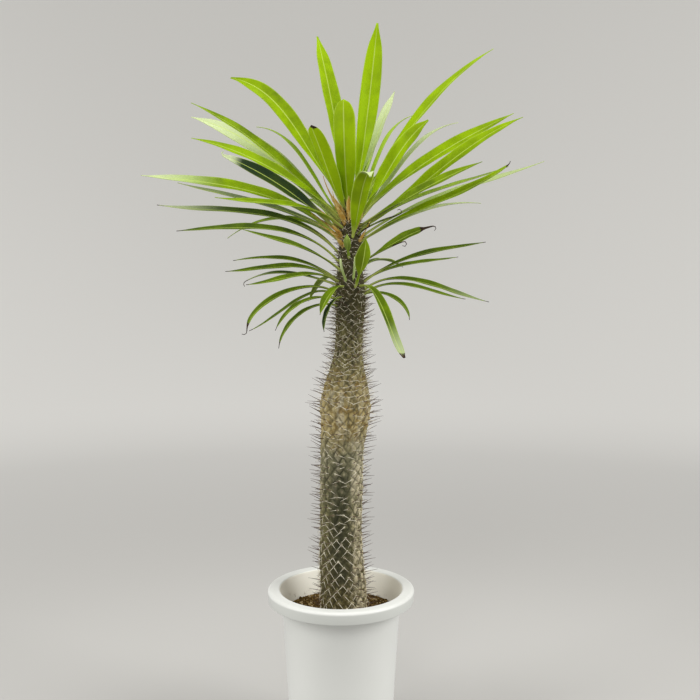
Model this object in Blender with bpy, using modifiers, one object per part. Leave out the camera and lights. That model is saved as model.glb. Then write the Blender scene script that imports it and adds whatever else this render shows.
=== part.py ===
"""Madagascar palm (Pachypodium lamerei) in its pot: a spiny stem with a crown of long leaves.

Metres, +Z up. The origin is the middle of the pot's underside, on the surface it stands on.
"""
import math
import random
from collections import namedtuple

import bmesh
import bpy
from mathutils import Vector
from mathutils import noise
from mathutils.bvhtree import BVHTree

MM = 0.001
CLEARANCE = 0.3 * MM

# Pot: a number 8 size, 240 mm across its rim
POT_HEIGHT = 260 * MM
RIM_RADIUS = 120 * MM
RIM_OPENING = 100 * MM
RIM_BAND = 20 * MM
RIM_ROUND = 5 * MM
BODY_TOP_RADIUS = 98 * MM
BODY_BASE_RADIUS = 83 * MM
POT_WALL = 3 * MM
POT_FLOOR = 4 * MM
POT_SIDES = 40
DRAIN_HOLES = 6
DRAIN_RADIUS = 7 * MM
DRAIN_CIRCLE = 52 * MM

# Soil
SOIL_TOP = POT_HEIGHT - 40 * MM
SOIL_CRUMB = 1.6 * MM
SOIL_RINGS = 6

# Stem: height above the floor, radius and sideways lean of its middle, all in millimetres
STEM_STATIONS = (
    (150, 35, 5.7),
    (205, 37, 5.7),
    (241, 37, 5.0),
    (305, 35, 1.2),
    (356, 33, 0.0),
    (439, 34, 1.0),
    (488, 34, 1.9),
    (537, 38, 6.7),
    (562, 40, 7.1),
    (603, 32, 8.8),
    (627, 25.5, 10.5),
    (651, 21.5, 12.4),
    (699, 22, 14.5),
    (731, 24, 15.3),
    (779, 20, 14.8),
    (850, 15, 15.6),
    (890, 10, 16.2),
    (897, 4, 16.4),
)
STEM_COLUMNS = 20
STEM_RING_STEP = 14.5 * MM
STEM_SKEW = math.radians(2.5)
TUBERCLE_HEIGHT = 2.6 * MM
ROOT_TOP = SOIL_TOP - 4 * MM
CROWN_BASE = 640 * MM

# Spines: one on three tubercles out of four, at true size
SPINE_LENGTH = 17 * MM
SPINE_RADIUS = 1.0 * MM
SPINE_ROOT = 4 * MM
SPINE_SPREAD = 0.8
LEAF_ROOM = 2.0 * MM
SPINES_TOP = 880 * MM
SEED = 8

# Leaves
LEAF_THICKNESS = 2.2 * MM
BLADE_SHARE = 0.4
STALK_WIDTH = 5.5 * MM
LEAF_REACH_IN = 0.75
CURVE_PULL = 0.36
TURNED_BY = 0.45
FOLD_AT_BASE = math.radians(38)
FOLD_AT_TIP = math.radians(12)
STRAP = (0.0, 0.0, 0.3, 0.72, 0.97, 1.0, 0.8, 0.44, 0.0)
OBLONG = (0.0, 0.0, 0.42, 0.82, 1.0, 1.0, 0.92, 0.68, 0.1)
OVAL = (0.0, 0.0, 0.02, 0.3, 0.8, 1.0, 0.95, 0.6, 0.05)

# Heights and lengths in millimetres, angles in degrees. Azimuth 0 is +X and 90 is +Y.
# The rises are the slopes of the midrib where it leaves the stem and at its tip, and the
# twist turns the blade's upper face towards -Y by the time it is TURNED_BY of the way along.
Leaf = namedtuple("Leaf", "height azimuth reach tip_height base_rise tip_rise width outline twist")
LEAF_PLAN = {
    "leaf_top_01": Leaf(886, 158, 213, 1093, 47, 11, 30, OBLONG, -54),
    "leaf_top_02": Leaf(884, 116, 128, 1167, 73, 60, 32, OBLONG, 0),
    "leaf_top_03": Leaf(888, 45, 60, 1172, 76, 82, 34, OBLONG, 45),
    "leaf_top_04": Leaf(866, 258, 52, 1038, 66, 86, 36, OBLONG, 0),
    "leaf_top_05": Leaf(870, 232, 96, 996, 50, 52, 32, OBLONG, 0),
    "leaf_top_06": Leaf(868, 136, 170, 1062, 54, 36, 24, STRAP, 0),
    "leaf_top_07": Leaf(854, 143, 199, 1019, 44, 6, 14, STRAP, 0),
    "leaf_top_08": Leaf(874, 64, 172, 1083, 58, 44, 26, OBLONG, -17),
    "leaf_top_09": Leaf(862, 46, 150, 1036, 56, 14, 16, STRAP, -16),
    "leaf_top_10": Leaf(877, 20, 250, 1141, 56, 31, 28, STRAP, 17),
    "leaf_top_11": Leaf(855, 322, 146, 1001, 46, 28, 32, OBLONG, 79),
    "leaf_top_12": Leaf(852, 36, 227, 1028, 42, 10, 18, STRAP, 0),
    "leaf_top_13": Leaf(827, 285, 118, 929, 52, 6, 30, OBLONG, 0),
    "leaf_left_01": Leaf(851, 163, 275, 1053, 46, 24, 26, STRAP, -22),
    "leaf_left_02": Leaf(842, 148, 328, 1043, 45, 14, 34, STRAP, -48),
    "leaf_left_03": Leaf(858, 176, 254, 988, 41, 11, 26, STRAP, -35),
    "leaf_left_04": Leaf(834, 202, 218, 955, 41, 17, 26, STRAP, -64),
    "leaf_left_05": Leaf(826, 186, 325, 925, 45, 4, 27, STRAP, -40),
    "leaf_left_06": Leaf(830, 153, 336, 928, 28, 14, 20, STRAP, -15),
    "leaf_left_07": Leaf(843, 216, 241, 885, 36, 6, 18, STRAP, -31),
    "leaf_left_08": Leaf(801, 176, 311, 883, 52, 8, 22, STRAP, -28),
    "leaf_left_09": Leaf(788, 194, 272, 839, 51, -5, 20, STRAP, -30),
    "leaf_left_10": Leaf(818, 141, 279, 833, 38, -28, 16, STRAP, -26),
    "leaf_left_11": Leaf(775, 222, 211, 840, 36, 14, 16, STRAP, -37),
    "leaf_left_12": Leaf(759, 163, 202, 794, 40, -8, 15, STRAP, -22),
    "leaf_left_13": Leaf(756, 183, 198, 777, 47, -2, 17, STRAP, -28),
    "leaf_left_14": Leaf(753, 148, 226, 751, 16, -30, 13, STRAP, -18),
    "leaf_left_15": Leaf(758, 208, 178, 758, 35, -3, 15, STRAP, -26),
    "leaf_left_16": Leaf(736, 194, 164, 673, 55, -112, 17, STRAP, -21),
    "leaf_left_17": Leaf(734, 171, 167, 680, 44, -22, 13, STRAP, -23),
    "leaf_left_18": Leaf(730, 218, 144, 689, 24, -62, 14, STRAP, -6),
    "leaf_left_19": Leaf(720, 203, 121, 658, 30, -84, 14, STRAP, -12),
    "leaf_left_20": Leaf(752, 240, 92, 712, 18, -62, 20, STRAP, 6),
    "leaf_left_21": Leaf(736, 232, 66, 684, 16, -104, 14, STRAP, 18),
    "leaf_right_01": Leaf(860, 13, 273, 1033, 45, 25, 26, STRAP, 45),
    "leaf_right_02": Leaf(842, 352, 267, 1013, 30, 21, 26, STRAP, 53),
    "leaf_right_03": Leaf(846, 334, 217, 940, 28, 17, 22, STRAP, 48),
    "leaf_right_04": Leaf(821, 343, 262, 947, 36, 37, 22, STRAP, 37),
    "leaf_right_05": Leaf(828, 2, 308, 951, 37, 21, 18, STRAP, 28),
    "leaf_right_06": Leaf(838, 24, 294, 953, 38, 20, 16, STRAP, 13),
    "leaf_right_07": Leaf(822, 34, 274, 893, 26, -2, 14, STRAP, 13),
    "leaf_right_08": Leaf(788, 340, 147, 849, 30, 9, 20, STRAP, 48),
    "leaf_right_09": Leaf(756, 8, 222, 824, 40, 10, 16, STRAP, 26),
    "leaf_right_10": Leaf(758, 28, 207, 800, 30, 8, 14, STRAP, 19),
    "leaf_right_11": Leaf(744, 356, 220, 729, 44, -12, 17, STRAP, 27),
    "leaf_right_12": Leaf(736, 19, 203, 730, 42, -9, 13, STRAP, 30),
    "leaf_right_13": Leaf(738, 336, 101, 702, 34, -88, 13, STRAP, 17),
    "leaf_right_14": Leaf(752, 314, 118, 647, 24, -50, 22, STRAP, 0),
    "leaf_front_01": Leaf(746, 292, 64, 828, 52, 76, 26, OVAL, 0),
    "leaf_front_02": Leaf(792, 264, 44, 835, 70, 118, 12, OVAL, 0),
    "leaf_back_01": Leaf(868, 95, 250, 1040, 50, 20, 28, STRAP, 0),
    "leaf_back_02": Leaf(838, 76, 290, 955, 42, 8, 26, STRAP, 0),
    "leaf_back_03": Leaf(812, 110, 270, 905, 45, 0, 24, STRAP, 0),
    "leaf_back_04": Leaf(788, 88, 240, 845, 45, -5, 20, STRAP, 0),
    "leaf_back_05": Leaf(764, 62, 200, 782, 42, -15, 17, STRAP, 0),
    "leaf_back_06": Leaf(750, 114, 180, 722, 36, -45, 16, STRAP, 0),
    "leaf_back_07": Leaf(736, 86, 140, 672, 30, -70, 15, STRAP, 0),
}


def clear_scene():
    for obj in list(bpy.data.objects):
        bpy.data.objects.remove(obj, do_unlink=True)


def make_material(name, colour, roughness):
    material = bpy.data.materials.new(name)
    material.use_nodes = True
    shader = material.node_tree.nodes["Principled BSDF"]
    shader.inputs["Base Color"].default_value = (*colour, 1.0)
    shader.inputs["Roughness"].default_value = roughness
    shader.inputs["Metallic"].default_value = 0.0
    return material


def make_collection(name):
    collection = bpy.data.collections.new(name)
    bpy.context.scene.collection.children.link(collection)
    return collection


def object_from(bm, name, collection, material=None):
    """A named object that takes over the bmesh."""
    mesh = bpy.data.meshes.new(name)
    bm.to_mesh(mesh)
    bm.free()
    obj = bpy.data.objects.new(name, mesh)
    collection.objects.link(obj)
    if material:
        mesh.materials.append(material)
    return obj


def set_aside(obj):
    """Marks a cutter or a guide, which is no piece of the plant."""
    obj.hide_render = True
    obj.display_type = "WIRE"


def applied_mesh(obj):
    graph = bpy.context.evaluated_depsgraph_get()
    return bpy.data.meshes.new_from_object(obj.evaluated_get(graph))


def apply_modifiers(obj):
    baked = applied_mesh(obj)
    obj.modifiers.clear()
    obj.data = baked


def cut(obj, cutter):
    modifier = obj.modifiers.new("cut " + cutter.name, "BOOLEAN")
    modifier.operation = "DIFFERENCE"
    modifier.solver = "EXACT"
    modifier.object = cutter


# Pot


def arc(middle_x, middle_z, radius, start, end, steps):
    """Points of an arc in the profile plane, angles in degrees."""
    points = []
    for step in range(steps + 1):
        angle = math.radians(start + (end - start) * step / steps)
        points.append((middle_x + radius * math.cos(angle), middle_z + radius * math.sin(angle)))
    return points


def body_radius(height):
    """Outer radius of the pot's wall, which widens towards the top."""
    return BODY_BASE_RADIUS + (BODY_TOP_RADIUS - BODY_BASE_RADIUS) * height / POT_HEIGHT


def pot_profile():
    """From the middle of the inner floor, up the inside, over the rolled rim and down the outside."""
    shoulder = POT_HEIGHT - RIM_BAND - 4 * MM
    inner_foot = body_radius(POT_FLOOR) - POT_WALL
    points = [(0.0, POT_FLOOR), (inner_foot - 6 * MM, POT_FLOOR), (inner_foot, POT_FLOOR + 6 * MM)]
    points.append((body_radius(shoulder) - POT_WALL, shoulder))
    lip = 3 * MM
    points += arc(RIM_OPENING + lip, POT_HEIGHT - lip, lip, 180, 90, 3)
    points += arc(RIM_RADIUS - RIM_ROUND, POT_HEIGHT - RIM_ROUND, RIM_ROUND, 90, 0, 4)
    points.append((RIM_RADIUS - 1 * MM, POT_HEIGHT - RIM_BAND))
    points.append((RIM_RADIUS - POT_WALL - 1 * MM, POT_HEIGHT - RIM_BAND))
    points.append((RIM_RADIUS - POT_WALL - 1 * MM, POT_HEIGHT - RIM_ROUND - 2 * MM))
    points.append((RIM_OPENING + 6 * MM, POT_HEIGHT - RIM_ROUND - 2 * MM))
    points.append((body_radius(shoulder), shoulder - 4 * MM))
    foot_round = 4 * MM
    points += arc(BODY_BASE_RADIUS - foot_round, foot_round, foot_round, 0, -90, 3)
    points.append((0.0, 0.0))
    return points


def make_pot(collection, cutters, material):
    mesh = bpy.data.meshes.new("pot")
    profile = [(x, 0.0, z) for x, z in pot_profile()]
    mesh.from_pydata(profile, [(i, i + 1) for i in range(len(profile) - 1)], [])
    mesh.materials.append(material)
    pot = bpy.data.objects.new("pot", mesh)
    collection.objects.link(pot)
    turn = pot.modifiers.new("turn", "SCREW")
    turn.steps = POT_SIDES
    turn.render_steps = POT_SIDES
    turn.use_merge_vertices = True
    turn.merge_threshold = 0.0001
    bm = bmesh.new()
    for hole in range(DRAIN_HOLES):
        angle = 2 * math.pi * hole / DRAIN_HOLES
        drill = bmesh.ops.create_cone(
            bm, cap_ends=True, segments=12, radius1=DRAIN_RADIUS, radius2=DRAIN_RADIUS, depth=4 * POT_FLOOR
        )
        place = Vector((DRAIN_CIRCLE * math.cos(angle), DRAIN_CIRCLE * math.sin(angle), 0.0))
        bmesh.ops.translate(bm, verts=drill["verts"], vec=place)
    drills = object_from(bm, "drain_drills", cutters)
    set_aside(drills)
    cut(pot, drills)
    return pot


# Soil


def make_soil(collection, material):
    """Fills the pot up to its crumbly top, round a plain hole for the stem."""
    foot = POT_FLOOR + CLEARANCE
    foot_inset = 8 * MM
    wall_gap = POT_WALL + 2 * CLEARANCE
    hole = 39.0 * MM
    top_edge = body_radius(SOIL_TOP) - wall_gap
    bm = bmesh.new()
    outer = bmesh.ops.create_circle(bm, cap_ends=True, segments=POT_SIDES, radius=body_radius(foot) - wall_gap - foot_inset)
    bmesh.ops.translate(bm, verts=outer["verts"], vec=(0, 0, foot))
    rings = [(body_radius(foot) - wall_gap, foot + foot_inset), (top_edge, SOIL_TOP)]
    for ring in range(1, SOIL_RINGS):
        share = ring / (SOIL_RINGS - 1)
        rings.append((top_edge + (hole - top_edge) * share, SOIL_TOP))
    rings.append((hole, STEM_STATIONS[0][0] * MM - CLEARANCE))
    edge = [e for e in bm.edges if e.is_boundary or len(e.link_faces) == 1]
    for radius, height in rings:
        grown = bmesh.ops.extrude_edge_only(bm, edges=edge)
        edge = [item for item in grown["geom"] if isinstance(item, bmesh.types.BMEdge)]
        verts = [item for item in grown["geom"] if isinstance(item, bmesh.types.BMVert)]
        for vert in verts:
            flat = Vector((vert.co.x, vert.co.y, 0.0)).normalized() * radius
            vert.co = (flat.x, flat.y, height)
    bmesh.ops.edgeloop_fill(bm, edges=edge)
    stem_x = STEM_STATIONS[1][2] * MM
    for vert in bm.verts:
        middle = math.hypot(vert.co.x, vert.co.y)
        if middle < hole + 1 * MM:
            vert.co.x += stem_x
        elif vert.co.z > SOIL_TOP - 1 * MM and middle < top_edge - 1 * MM:
            vert.co.z += SOIL_CRUMB * noise.noise(vert.co * 90)
    bmesh.ops.triangulate(bm, faces=bm.faces)
    bmesh.ops.recalc_face_normals(bm, faces=bm.faces)
    return object_from(bm, "soil", collection, material)


# Stem


def stem_at(height):
    """Radius and sideways lean of the stem at a height, on a smooth curve through its stations."""
    stations = [(z * MM, r * MM, x * MM) for z, r, x in STEM_STATIONS]
    last = len(stations) - 1
    height = min(max(height, stations[0][0]), stations[last][0])
    index = next(i for i in range(last) if height <= stations[i + 1][0])
    low, high = stations[index], stations[index + 1]
    span = high[0] - low[0]
    share = (height - low[0]) / span
    result = []
    for value in (1, 2):
        before, after = stations[max(index - 1, 0)], stations[min(index + 2, last)]
        slope_low = (high[value] - before[value]) / (high[0] - before[0])
        slope_high = (after[value] - low[value]) / (after[0] - low[0])
        result.append(
            (2 * share**3 - 3 * share**2 + 1) * low[value]
            + (share**3 - 2 * share**2 + share) * slope_low * span
            + (3 * share**2 - 2 * share**3) * high[value]
            + (share**3 - share**2) * slope_high * span
        )
    return result


def relief_at(height):
    """How far a tubercle stands out: nothing in the soil, less in the crown."""
    if height < ROOT_TOP:
        return 0.0
    rising = min((height - ROOT_TOP) / (20 * MM), 1.0)
    fading = 1.0 - 0.55 * min(max((height - CROWN_BASE) / (120 * MM), 0.0), 1.0)
    return TUBERCLE_HEIGHT * rising * fading


def ring_heights():
    low, high = STEM_STATIONS[0][0] * MM, STEM_STATIONS[-1][0] * MM
    count = round((high - low) / STEM_RING_STEP)
    return [low + (high - low) * i / count for i in range(count + 1)]


def stem_point(height, ring, column, grow=0.0):
    """A point of the diamond net: tubercle tops and the grooves' crossings take turns round a ring."""
    radius, lean = stem_at(height)
    outward = relief_at(height) * (0.5 if (ring + column) % 2 == 0 else -0.5)
    angle = 2 * math.pi * column / STEM_COLUMNS + STEM_SKEW * ring
    reach = radius + outward + grow
    return Vector((lean + reach * math.cos(angle), reach * math.sin(angle), height))


def stem_mesh(grow=0.0):
    """The stem's skin, each square split along its groove."""
    heights = ring_heights()
    bm = bmesh.new()
    ring = bmesh.ops.create_circle(bm, cap_ends=True, segments=STEM_COLUMNS, radius=1.0)["verts"]
    ring.sort(key=lambda vert: math.atan2(vert.co.y, vert.co.x) % (2 * math.pi))
    rings = []
    for level in range(len(heights)):
        rings.append(ring)
        if level + 1 < len(heights):
            edges = [edge for edge in bm.edges if edge.verts[0] in ring and edge.verts[1] in ring]
            grown = bmesh.ops.extrude_edge_only(bm, edges=edges)["geom"]
            ring = [item for item in grown if isinstance(item, bmesh.types.BMVert)]
            ring.sort(key=lambda vert: math.atan2(vert.co.y, vert.co.x) % (2 * math.pi))
    for level, verts in enumerate(rings):
        end = -grow if level == 0 else grow if level == len(rings) - 1 else 0.0
        for column, vert in enumerate(verts):
            vert.co = stem_point(heights[level], level, column, grow) + Vector((0, 0, end))
    bmesh.ops.contextual_create(bm, geom=[e for e in bm.edges if len(e.link_faces) == 1])
    for low, high in zip(range(len(rings) - 1), range(1, len(rings))):
        for column in range(STEM_COLUMNS):
            beside = (column + 1) % STEM_COLUMNS
            crossing = (low + column) % 2 == 1
            first = rings[low][column] if crossing else rings[low][beside]
            second = rings[high][beside] if crossing else rings[high][column]
            shared = set(first.link_faces) & set(second.link_faces)
            for face in shared:
                bmesh.utils.face_split(face, first, second)
    bmesh.ops.triangulate(bm, faces=[face for face in bm.faces if len(face.verts) > 3])
    bmesh.ops.recalc_face_normals(bm, faces=bm.faces)
    return bm


def spine_places(leaf_tree):
    """Root, direction and length of each spine that has room, sorted into the three ways they point."""
    chance = random.Random(SEED)
    ways = {"left": [], "right": [], "out": []}
    names = list(ways)
    for ring, height in enumerate(ring_heights()):
        for column in range(STEM_COLUMNS):
            bare = (column // 2 + ring) % 4 == 3
            if (ring + column) % 2 or bare or not SOIL_TOP < height < SPINES_TOP:
                continue
            root = stem_point(height, ring, column)
            middle = Vector((stem_at(height)[1], 0.0, height))
            outward = (root - middle).normalized()
            beside = Vector((-outward.y, outward.x, 0.0))
            way = names[(column // 2 + ring) % 4]
            side = {"left": -SPINE_SPREAD, "right": SPINE_SPREAD, "out": 0.0}[way]
            lift = chance.uniform(-0.15, 0.3)
            direction = (outward + beside * side + Vector((0, 0, lift))).normalized()
            bulge = 1.0 + 0.25 * math.exp(-(((height - 0.55) / 0.05) ** 2))
            length = SPINE_LENGTH * bulge * chance.uniform(0.85, 1.1)
            if height > CROWN_BASE:
                length *= 0.75
            steps = 12
            path = [root + direction * length * (step / steps) for step in range(1, steps + 1)]
            if any(leaf_tree.find_nearest(point, LEAF_ROOM)[0] for point in path):
                continue
            if path[-1].z > SOIL_TOP + 3 * MM:
                ways[way].append((root, direction, length))
    return ways


def make_spines(places, name, collection):
    bm = bmesh.new()
    for root, direction, length in places:
        cone = bmesh.ops.create_cone(
            bm, cap_ends=True, segments=3, radius1=SPINE_RADIUS, radius2=0.12 * MM, depth=length + SPINE_ROOT
        )["verts"]
        turn = Vector((0, 0, 1)).rotation_difference(direction).to_matrix()
        bmesh.ops.rotate(bm, verts=cone, cent=(0, 0, 0), matrix=turn)
        bmesh.ops.translate(bm, verts=cone, vec=root + direction * (length - SPINE_ROOT) / 2)
    return object_from(bm, name, collection)


def make_stem(collection, spines, leaf_tree, material):
    stem = object_from(stem_mesh(), "stem", collection, material)
    for way, places in spine_places(leaf_tree).items():
        make_spines(places, "spines_" + way, spines)
    join = stem.modifiers.new("spines", "BOOLEAN")
    join.operation = "UNION"
    join.solver = "MANIFOLD"
    join.operand_type = "COLLECTION"
    join.collection = spines
    apply_modifiers(stem)
    for obj in list(spines.objects):
        bpy.data.objects.remove(obj, do_unlink=True)
    bpy.data.collections.remove(spines)
    return stem


# Leaves


def midrib(leaf):
    """The four points of the curve that a leaf's midrib follows, in its upright plane."""
    radius = stem_at(leaf.height * MM)[0]
    start = Vector((radius * LEAF_REACH_IN, leaf.height * MM))
    end = Vector((leaf.reach * MM, leaf.tip_height * MM))
    pull = CURVE_PULL * (end - start).length
    leaving = math.radians(leaf.base_rise)
    arriving = math.radians(leaf.tip_rise)
    return (
        start,
        start + pull * Vector((math.cos(leaving), math.sin(leaving))),
        end - pull * Vector((math.cos(arriving), math.sin(arriving))),
        end,
    )


def on_curve(points, share):
    """Place and direction on a cubic curve."""
    a, b, c, d = points
    rest = 1 - share
    place = rest**3 * a + 3 * rest**2 * share * b + 3 * rest * share**2 * c + share**3 * d
    slope = 3 * rest**2 * (b - a) + 6 * rest * share * (c - b) + 3 * share**2 * (d - c)
    return place, slope.normalized()


def make_leaf(name, leaf, collection, material, cutter):
    """A folded blade on a stalk: a strip of two panels, bent along the midrib and thickened."""
    azimuth = math.radians(leaf.azimuth)
    outward = Vector((math.cos(azimuth), math.sin(azimuth), 0.0))
    beside = Vector((-outward.y, outward.x, 0.0))
    upward = Vector((0.0, 0.0, 1.0))
    lean = Vector((stem_at(leaf.height * MM)[1], 0.0, 0.0))
    curve = midrib(leaf)
    segments = len(leaf.outline) - 1
    bm = bmesh.new()
    bmesh.ops.create_grid(bm, x_segments=segments, y_segments=2, size=0.5)
    stalk = []
    for vert in bm.verts:
        station = round((vert.co.x + 0.5) * segments)
        side = round(vert.co.y * 2)
        share = station / segments
        place, slope = on_curve(curve, share)
        normal = upward * slope.x - outward * slope.y
        turn = math.radians(leaf.twist) * min(share / TURNED_BY, 1.0)
        across = beside * math.cos(turn) + normal * math.sin(turn)
        above = normal * math.cos(turn) - beside * math.sin(turn)
        fold = FOLD_AT_BASE + (FOLD_AT_TIP - FOLD_AT_BASE) * share
        wide = leaf.outline[station] * leaf.width * MM / 2
        narrow = (STALK_WIDTH if share < 0.5 else 1.2 * MM) / 2
        half = max(wide, narrow)
        raised = (abs(side) - 0.5) * half * math.sin(fold)
        point = lean + outward * place.x + upward * place.y
        vert.co = point + across * side * half * math.cos(fold) + above * raised
        stalk.append((vert.index, max(0.0, 1.0 - share / 0.35)))
    bmesh.ops.triangulate(bm, faces=bm.faces)
    bmesh.ops.recalc_face_normals(bm, faces=bm.faces)
    bm.verts.index_update()
    obj = object_from(bm, name, collection, material)
    group = obj.vertex_groups.new(name="stalk")
    for index, weight in stalk:
        group.add([index], weight, "REPLACE")
    shell = obj.modifiers.new("thickness", "SOLIDIFY")
    shell.thickness = LEAF_THICKNESS
    shell.offset = 0.0
    shell.vertex_group = "stalk"
    shell.thickness_vertex_group = BLADE_SHARE
    cut(obj, cutter)
    apply_modifiers(obj)
    return obj


def main():
    clear_scene()
    plant = make_collection("madagascar_palm")
    cutters = make_collection("cutters")
    spines = make_collection("spines")
    white = make_material("pot_white", (0.80, 0.80, 0.77), 0.35)
    earth = make_material("soil_brown", (0.12, 0.06, 0.03), 0.95)
    bark = make_material("stem_grey", (0.22, 0.20, 0.12), 0.8)
    green = make_material("leaf_green", (0.20, 0.38, 0.03), 0.4)
    make_pot(plant, cutters, white)
    make_soil(plant, earth)
    clearance = object_from(stem_mesh(1.5 * CLEARANCE), "stem_clearance", cutters)
    set_aside(clearance)
    joined = bmesh.new()
    for name, leaf in LEAF_PLAN.items():
        obj = make_leaf(name, leaf, plant, green, clearance)
        joined.from_mesh(obj.data)
    make_stem(plant, spines, BVHTree.FromBMesh(joined), bark)
    joined.free()


main()
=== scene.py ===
import math
import random

import bmesh
import bpy
from mathutils import Matrix, Vector, noise


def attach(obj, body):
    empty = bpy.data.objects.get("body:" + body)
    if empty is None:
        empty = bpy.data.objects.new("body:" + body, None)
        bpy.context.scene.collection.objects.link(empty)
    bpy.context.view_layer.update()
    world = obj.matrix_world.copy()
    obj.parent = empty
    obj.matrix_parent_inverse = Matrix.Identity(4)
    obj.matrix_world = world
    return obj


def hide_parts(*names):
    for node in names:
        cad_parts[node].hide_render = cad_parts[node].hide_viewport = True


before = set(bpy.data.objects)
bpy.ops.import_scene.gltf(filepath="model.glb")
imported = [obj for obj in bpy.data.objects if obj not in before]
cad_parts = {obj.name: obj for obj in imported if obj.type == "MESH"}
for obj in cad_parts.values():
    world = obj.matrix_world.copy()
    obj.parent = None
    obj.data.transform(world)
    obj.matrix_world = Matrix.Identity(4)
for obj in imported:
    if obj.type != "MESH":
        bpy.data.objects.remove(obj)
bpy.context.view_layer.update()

mm = 0.001
upward = Vector((0.0, 0.0, 1.0))


# Small helpers that every piece uses

def addPiece(bm, name, material, replaced=None, sharpAngle=None):
    mesh = bpy.data.meshes.new(name)
    bm.to_mesh(mesh)
    bm.free()
    mesh.materials.append(material)
    mesh.shade_smooth()
    if sharpAngle:
        mesh.set_sharp_from_angle(angle=math.radians(sharpAngle))
    piece = bpy.data.objects.new(name, mesh)
    bpy.context.scene.collection.objects.link(piece)
    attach(piece, "root")
    if replaced:
        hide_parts(replaced)
    return piece


def smoothStep(low, high, value):
    share = min(max((value - low) / (high - low), 0.0), 1.0)
    return share * share * (3 - 2 * share)


def smoothList(values, share):
    # a smooth curve through evenly spaced values
    place = min(max(share, 0.0), 1.0) * (len(values) - 1)
    index = min(int(place), len(values) - 2)
    t = place - index
    a = values[max(index - 1, 0)]
    b = values[index]
    c = values[index + 1]
    d = values[min(index + 2, len(values) - 1)]
    return b + 0.5 * t * (c - a + t * (2 * a - 5 * b + 4 * c - d + t * (3 * (b - c) + d - a)))


def arcPoints(middle, radius, start, end, steps):
    points = []
    for step in range(steps + 1):
        angle = math.radians(start + (end - start) * step / steps)
        points.append((middle[0] + radius * math.cos(angle), middle[1] + radius * math.sin(angle)))
    return points


def spinProfile(profile, sides):
    # turns a line of (radius, height) points into a closed round shape
    bm = bmesh.new()
    verts = [bm.verts.new((x, 0.0, z)) for x, z in profile]
    edges = [bm.edges.new(pair) for pair in zip(verts, verts[1:])]
    bmesh.ops.spin(
        bm, geom=verts + edges, cent=(0, 0, 0), axis=(0, 0, 1),
        angle=math.radians(360), steps=sides, use_merge=True,
    )
    bmesh.ops.remove_doubles(bm, verts=bm.verts, dist=0.00001)
    bmesh.ops.recalc_face_normals(bm, faces=bm.faces)
    return bm


def gather(bm, part):
    # moves a small bmesh into a large one, which stays quick with thousands of small shapes
    holder = bpy.data.meshes.new("holder")
    part.to_mesh(holder)
    part.free()
    bm.from_mesh(holder)
    bpy.data.meshes.remove(holder)


# Small helpers for materials

def makeNode(tree, kind, inputs=None, **settings):
    made = tree.nodes.new(kind)
    for name, value in settings.items():
        setattr(made, name, value)
    for name, value in (inputs or {}).items():
        if isinstance(value, bpy.types.NodeSocket):
            tree.links.new(value, made.inputs[name])
        else:
            made.inputs[name].default_value = value
    return made


def newMaterial(name):
    material = bpy.data.materials.new(name)
    material.use_nodes = True
    tree = material.node_tree
    return material, tree, tree.nodes["Principled BSDF"]


def mixed(tree, share, first, second):
    # sockets 6 and 7 and output 2 are the node's colours
    values = {0: share, 6: first, 7: second}
    for key in (6, 7):
        if isinstance(values[key], tuple):
            values[key] = (*values[key], 1.0)
    return makeNode(tree, "ShaderNodeMix", values, data_type="RGBA").outputs[2]


def ranged(tree, value, low, high, first=0.0, second=1.0):
    inputs = {0: value, 1: low, 2: high, 3: first, 4: second}
    return makeNode(tree, "ShaderNodeMapRange", inputs, interpolation_type="SMOOTHSTEP").outputs[0]


def maths(tree, operation, first, second=0.0):
    return makeNode(tree, "ShaderNodeMath", {0: first, 1: second}, operation=operation).outputs[0]


def multiplied(tree, first, *others):
    for other in others:
        first = maths(tree, "MULTIPLY", first, other)
    return first


def added(tree, first, second):
    return maths(tree, "ADD", first, second)


def between(tree, value, rise, fall):
    # grows over the first span and fades over the second
    return multiplied(tree, ranged(tree, value, *rise), ranged(tree, value, *fall, 1.0, 0.0))


def ramped(tree, factor, stops):
    made = makeNode(tree, "ShaderNodeValToRGB", {"Fac": factor})
    elements = made.color_ramp.elements
    while len(elements) < len(stops):
        elements.new(0.5)
    for element, (place, colour) in zip(elements, stops):
        element.position = place
        element.color = (*colour, 1.0)
    return made.outputs["Color"]


def noisy(tree, place, scale, detail=4.0, roughness=0.6):
    inputs = {"Vector": place, "Scale": scale, "Detail": detail, "Roughness": roughness}
    return makeNode(tree, "ShaderNodeTexNoise", inputs).outputs["Fac"]


def attribute(tree, name):
    return makeNode(tree, "ShaderNodeAttribute", attribute_name=name).outputs["Fac"]


def objectPlace(tree):
    return makeNode(tree, "ShaderNodeTexCoord").outputs["Object"]


def splitPlace(tree, place):
    return makeNode(tree, "ShaderNodeSeparateXYZ", {0: place}).outputs


def fromAxis(tree, split):
    # distance from the upright axis
    across = maths(tree, "POWER", split["X"], 2.0)
    deep = maths(tree, "POWER", split["Y"], 2.0)
    return maths(tree, "SQRT", added(tree, across, deep))


def drawnOut(tree, place, share):
    # stretches a pattern upwards
    inputs = {"Vector": place, "Scale": (1.0, 1.0, share)}
    return makeNode(tree, "ShaderNodeMapping", inputs).outputs[0]


def bumped(tree, height, strength, distance):
    inputs = {"Height": height, "Strength": strength, "Distance": distance}
    return makeNode(tree, "ShaderNodeBump", inputs).outputs["Normal"]


# Camera, light and floor

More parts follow.
